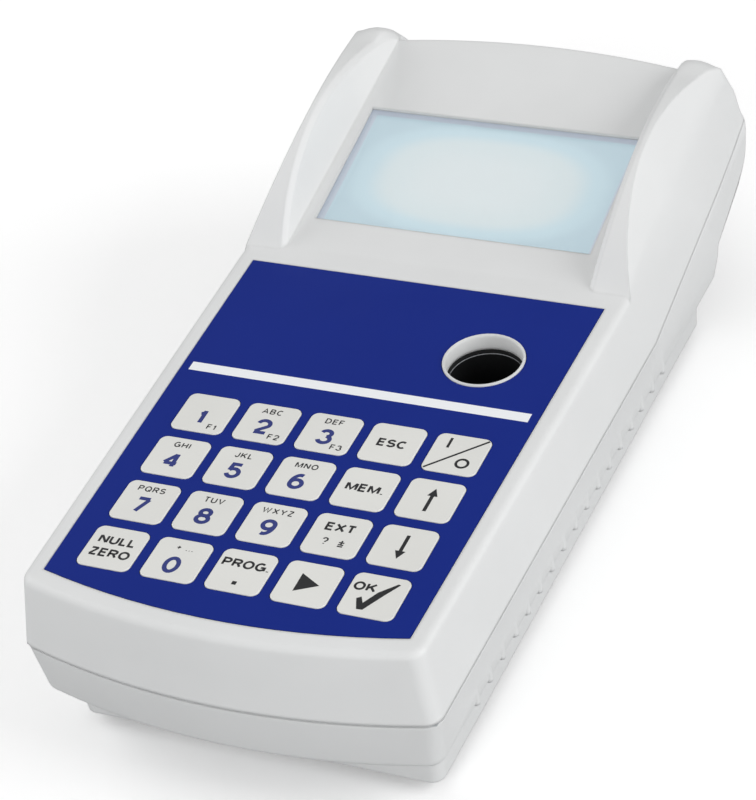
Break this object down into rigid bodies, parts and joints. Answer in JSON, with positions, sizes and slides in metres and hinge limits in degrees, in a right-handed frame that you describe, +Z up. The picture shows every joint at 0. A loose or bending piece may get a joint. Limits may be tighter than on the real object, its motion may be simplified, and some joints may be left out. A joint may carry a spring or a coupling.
{
  "type": "compact photometer",
  "caption": "Hand-held bench photometer: flat keypad, tilted display between two raised cheeks, and a lined round well for a test tube in the deck.",
  "frame": {"origin": "on the table, under the middle of the overall box", "axes": "+X to the user's right, +Y from the keypad to the display, +Z up"},
  "size_m": [0.1, 0.215, 0.065],
  "materials": {
    "shell_plastic": "fine spark texture",
    "seal_rubber": "matte",
    "foam_black": "matte",
    "overlay_film": "printed polyester film, fine grain",
    "spacer_film": "smooth",
    "circuit_film": "smooth",
    "key_plastic": "satin, printed legends",
    "spring_steel": "bright",
    "screw_steel": "zinc plated",
    "window_clear": "clear, smooth",
    "lcd_layer": "liquid crystal cell, off",
    "backlight_plastic": "milky",
    "circuit_board": "solder mask",
    "chip_plastic": "moulded",
    "ribbon_plastic": "smooth",
    "optics_plastic": "matte black moulding",
    "tube_aluminium": "turned",
    "lens_glass": "polished",
    "pin_brass": "turned",
    "filter_glass": "coloured, polished",
    "cell_wrapper": "printed wrapper"
  },
  "bodies": {
    "housing": {"axle_clip": "spring_steel", "backlight_panel": "backlight_plastic", "batteries": "cell_wrapper", "battery_contacts": "spring_steel", "board_components": "chip_plastic", "board_screws": "screw_steel", "bottom_shell": "shell_plastic", "collimating_lens": "lens_glass", "data_port": "screw_steel", "detector_board": "circuit_board", "display_board": "circuit_board", "display_ribbon": "ribbon_plastic", "display_screws": "screw_steel", "display_window": "window_clear", "housing_screws": "screw_steel", "housing_seal": "seal_rubber", "keypad_circuit": "circuit_film", "keypad_overlay": "overlay_film", "keypad_spacer": "spacer_film", "lamp_base": "pin_brass", "lamp_bulb": "lens_glass", "lamp_housing": "tube_aluminium", "lcd_glass": "lcd_layer", "light_seal": "foam_black", "main_board": "circuit_board", "optics_bracket": "optics_plastic", "photodiode": "screw_steel", "power_socket": "chip_plastic", "rubber_feet": "seal_rubber", "snap_domes": "spring_steel", "top_shell": "shell_plastic", "tube_holder": "optics_plastic", "wheel_axle": "screw_steel", "wheel_motor": "screw_steel"},
    "filter_disc": {"filter_wheel": "optics_plastic", "colour_filters": "filter_glass"},
    "motor_rotor": {"motor_shaft": "screw_steel", "motor_pinion": "pin_brass"},
    "bay_door": {"battery_door": "shell_plastic"},
    "key_0_cap": {"key_0": "key_plastic"},
    "key_1_cap": {"key_1": "key_plastic"},
    "key_2_cap": {"key_2": "key_plastic"},
    "key_3_cap": {"key_3": "key_plastic"},
    "key_4_cap": {"key_4": "key_plastic"},
    "key_5_cap": {"key_5": "key_plastic"},
    "key_6_cap": {"key_6": "key_plastic"},
    "key_7_cap": {"key_7": "key_plastic"},
    "key_8_cap": {"key_8": "key_plastic"},
    "key_9_cap": {"key_9": "key_plastic"},
    "key_accept_cap": {"key_accept": "key_plastic"},
    "key_down_cap": {"key_down": "key_plastic"},
    "key_escape_cap": {"key_escape": "key_plastic"},
    "key_memory_cap": {"key_memory": "key_plastic"},
    "key_method_cap": {"key_method": "key_plastic"},
    "key_point_cap": {"key_point": "key_plastic"},
    "key_power_cap": {"key_power": "key_plastic"},
    "key_sign_cap": {"key_sign": "key_plastic"},
    "key_up_cap": {"key_up": "key_plastic"},
    "key_zero_set_cap": {"key_zero_set": "key_plastic"}
  },
  "joints": [
    {"name": "filter_wheel_spin", "type": "hinge", "parent": "housing", "child": "filter_disc", "pos_m": [0.0133, -0.0309, 0.0215], "axis": [0, 1, 0], "continuous": true},
    {"name": "motor_spin", "type": "hinge", "parent": "housing", "child": "motor_rotor", "pos_m": [-0.0047, -0.0309, 0.0215], "axis": [0, 1, 0], "continuous": true},
    {"name": "battery_door_slide", "type": "slide", "parent": "housing", "child": "bay_door", "axis": [0, 1, 0], "range_m": [0, 0.056]},
    {"name": "key_0_press", "type": "slide", "parent": "housing", "child": "key_0_cap", "axis": [0, 0, -1], "range_m": [0, 0.0003], "stiffness_N_per_m": 3000, "deforming": ["snap_domes"]},
    {"name": "key_1_press", "type": "slide", "parent": "housing", "child": "key_1_cap", "axis": [0, 0, -1], "range_m": [0, 0.0003], "stiffness_N_per_m": 3000, "deforming": ["snap_domes"]},
    {"name": "key_2_press", "type": "slide", "parent": "housing", "child": "key_2_cap", "axis": [0, 0, -1], "range_m": [0, 0.0003], "stiffness_N_per_m": 3000, "deforming": ["snap_domes"]},
    {"name": "key_3_press", "type": "slide", "parent": "housing", "child": "key_3_cap", "axis": [0, 0, -1], "range_m": [0, 0.0003], "stiffness_N_per_m": 3000, "deforming": ["snap_domes"]},
    {"name": "key_4_press", "type": "slide", "parent": "housing", "child": "key_4_cap", "axis": [0, 0, -1], "range_m": [0, 0.0003], "stiffness_N_per_m": 3000, "deforming": ["snap_domes"]},
    {"name": "key_5_press", "type": "slide", "parent": "housing", "child": "key_5_cap", "axis": [0, 0, -1], "range_m": [0, 0.0003], "stiffness_N_per_m": 3000, "deforming": ["snap_domes"]},
    {"name": "key_6_press", "type": "slide", "parent": "housing", "child": "key_6_cap", "axis": [0, 0, -1], "range_m": [0, 0.0003], "stiffness_N_per_m": 3000, "deforming": ["snap_domes"]},
    {"name": "key_7_press", "type": "slide", "parent": "housing", "child": "key_7_cap", "axis": [0, 0, -1], "range_m": [0, 0.0003], "stiffness_N_per_m": 3000, "deforming": ["snap_domes"]},
    {"name": "key_8_press", "type": "slide", "parent": "housing", "child": "key_8_cap", "axis": [0, 0, -1], "range_m": [0, 0.0003], "stiffness_N_per_m": 3000, "deforming": ["snap_domes"]},
    {"name": "key_9_press", "type": "slide", "parent": "housing", "child": "key_9_cap", "axis": [0, 0, -1], "range_m": [0, 0.0003], "stiffness_N_per_m": 3000, "deforming": ["snap_domes"]},
    {"name": "key_accept_press", "type": "slide", "parent": "housing", "child": "key_accept_cap", "axis": [0, 0, -1], "range_m": [0, 0.0003], "stiffness_N_per_m": 3000, "deforming": ["snap_domes"]},
    {"name": "key_down_press", "type": "slide", "parent": "housing", "child": "key_down_cap", "axis": [0, 0, -1], "range_m": [0, 0.0003], "stiffness_N_per_m": 3000, "deforming": ["snap_domes"]},
    {"name": "key_escape_press", "type": "slide", "parent": "housing", "child": "key_escape_cap", "axis": [0, 0, -1], "range_m": [0, 0.0003], "stiffness_N_per_m": 3000, "deforming": ["snap_domes"]},
    {"name": "key_memory_press", "type": "slide", "parent": "housing", "child": "key_memory_cap", "axis": [0, 0, -1], "range_m": [0, 0.0003], "stiffness_N_per_m": 3000, "deforming": ["snap_domes"]},
    {"name": "key_method_press", "type": "slide", "parent": "housing", "child": "key_method_cap", "axis": [0, 0, -1], "range_m": [0, 0.0003], "stiffness_N_per_m": 3000, "deforming": ["snap_domes"]},
    {"name": "key_point_press", "type": "slide", "parent": "housing", "child": "key_point_cap", "axis": [0, 0, -1], "range_m": [0, 0.0003], "stiffness_N_per_m": 3000, "deforming": ["snap_domes"]},
    {"name": "key_power_press", "type": "slide", "parent": "housing", "child": "key_power_cap", "axis": [0, 0, -1], "range_m": [0, 0.0003], "stiffness_N_per_m": 3000, "deforming": ["snap_domes"]},
    {"name": "key_sign_press", "type": "slide", "parent": "housing", "child": "key_sign_cap", "axis": [0, 0, -1], "range_m": [0, 0.0003], "stiffness_N_per_m": 3000, "deforming": ["snap_domes"]},
    {"name": "key_up_press", "type": "slide", "parent": "housing", "child": "key_up_cap", "axis": [0, 0, -1], "range_m": [0, 0.0003], "stiffness_N_per_m": 3000, "deforming": ["snap_domes"]},
    {"name": "key_zero_set_press", "type": "slide", "parent": "housing", "child": "key_zero_set_cap", "axis": [0, 0, -1], "range_m": [0, 0.0003], "stiffness_N_per_m": 3000, "deforming": ["snap_domes"]}
  ],
  "couplings": [
    {"joint": "motor_spin", "follows": "filter_wheel_spin", "ratio": -5}
  ]
}
